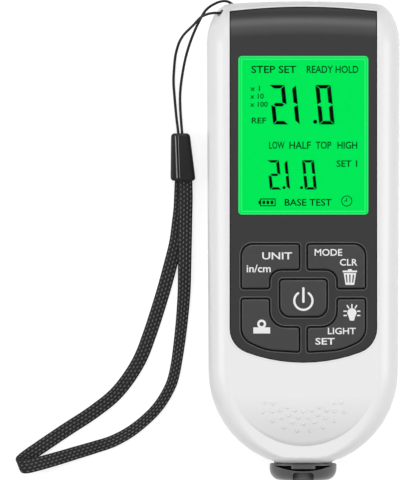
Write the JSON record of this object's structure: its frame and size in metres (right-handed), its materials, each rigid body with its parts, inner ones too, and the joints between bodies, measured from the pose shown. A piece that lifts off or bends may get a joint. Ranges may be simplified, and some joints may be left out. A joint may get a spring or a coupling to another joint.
{
  "type": "coating thickness gauge",
  "caption": "Handheld coating thickness gauge with a white moulded case, dark inset panel, lit green display, interlocking keys, sprung probe at the lower end and a braided wrist lanyard",
  "frame": {"origin": "centre of the gauge in plan, at the level of its flat back; the lanyard is left out of this box", "axes": "+Z out of the display, +Y along the case towards the lanyard end, +X to the right as seen with the display up and the probe below"},
  "size_m": [0.0997, 0.1253, 0.0278],
  "materials": {
    "case_white": "satin white moulded plastic",
    "panel_dark": "fine matte dark grey",
    "window_clear": "clear flush window",
    "lcd_green": "green lit display cell",
    "light_guide": "frosted light guide",
    "contact_rubber": "soft contact rubber",
    "board_green": "green circuit board",
    "chip_black": "black moulded package",
    "screw_steel": "plain steel",
    "contact_steel": "nickel-plated spring steel",
    "mat_rubber": "grey silicone",
    "key_grey": "fine matte dark grey",
    "cell_sleeve": "plain dark sleeve",
    "probe_black": "black moulded plastic",
    "coil_copper": "enamelled copper winding",
    "lead_red": "red wire sleeve",
    "socket_cream": "cream nylon",
    "cord_black": "black braid",
    "clasp_black": "satin black plastic"
  },
  "bodies": {
    "housing": {"front_shell": "case_white", "rear_shell": "case_white", "front_panel": "panel_dark", "display_window": "window_clear", "lcd_cell": "lcd_green", "backlight_guide": "light_guide", "backlight_leds": "light_guide", "zebra_strip": "contact_rubber", "main_board": "board_green", "controller_chip": "chip_black", "board_screws": "screw_steel", "snap_domes": "contact_steel", "keypad_mat": "mat_rubber", "battery_left": "cell_sleeve", "battery_right": "cell_sleeve", "battery_springs": "contact_steel", "battery_link": "contact_steel", "battery_terminals": "contact_steel", "case_screws": "screw_steel", "probe_collar": "probe_black", "probe_spring": "contact_steel", "probe_cap": "probe_black", "probe_lead": "lead_red", "probe_socket": "socket_cream", "lanyard_cord": "cord_black", "lanyard_clasp": "clasp_black", "wrist_strap": "cord_black"},
    "unit_button": {"unit_key": "key_grey"},
    "mode_button": {"mode_key": "key_grey"},
    "power_button": {"power_key": "key_grey"},
    "zero_button": {"zero_key": "key_grey"},
    "light_button": {"light_key": "key_grey"},
    "door": {"battery_door": "case_white"},
    "probe": {"probe_shaft": "probe_black", "probe_foot": "probe_black", "probe_pole": "screw_steel", "probe_coil": "coil_copper"}
  },
  "joints": [
    {"name": "unit_press", "type": "slide", "parent": "housing", "child": "unit_button", "axis": [0, 0, -1], "range_m": [0, 0.0006], "stiffness_N_per_m": 1200, "springref_m": -0.0002},
    {"name": "mode_press", "type": "slide", "parent": "housing", "child": "mode_button", "axis": [0, 0, -1], "range_m": [0, 0.0006], "stiffness_N_per_m": 1200, "springref_m": -0.0002},
    {"name": "power_press", "type": "slide", "parent": "housing", "child": "power_button", "axis": [0, 0, -1], "range_m": [0, 0.0006], "stiffness_N_per_m": 1200, "springref_m": -0.0002},
    {"name": "zero_press", "type": "slide", "parent": "housing", "child": "zero_button", "axis": [0, 0, -1], "range_m": [0, 0.0006], "stiffness_N_per_m": 1200, "springref_m": -0.0002},
    {"name": "light_press", "type": "slide", "parent": "housing", "child": "light_button", "axis": [0, 0, -1], "range_m": [0, 0.0006], "stiffness_N_per_m": 1200, "springref_m": -0.0002},
    {"name": "door_slide", "type": "slide", "parent": "housing", "child": "door", "axis": [0, 1, 0], "range_m": [0, 0.06]},
    {"name": "probe_press", "type": "slide", "parent": "housing", "child": "probe", "axis": [0, 1, 0], "range_m": [0, 0.0005], "stiffness_N_per_m": 1000, "springref_m": -0.001, "deforming": ["probe_spring"]}
  ]
}
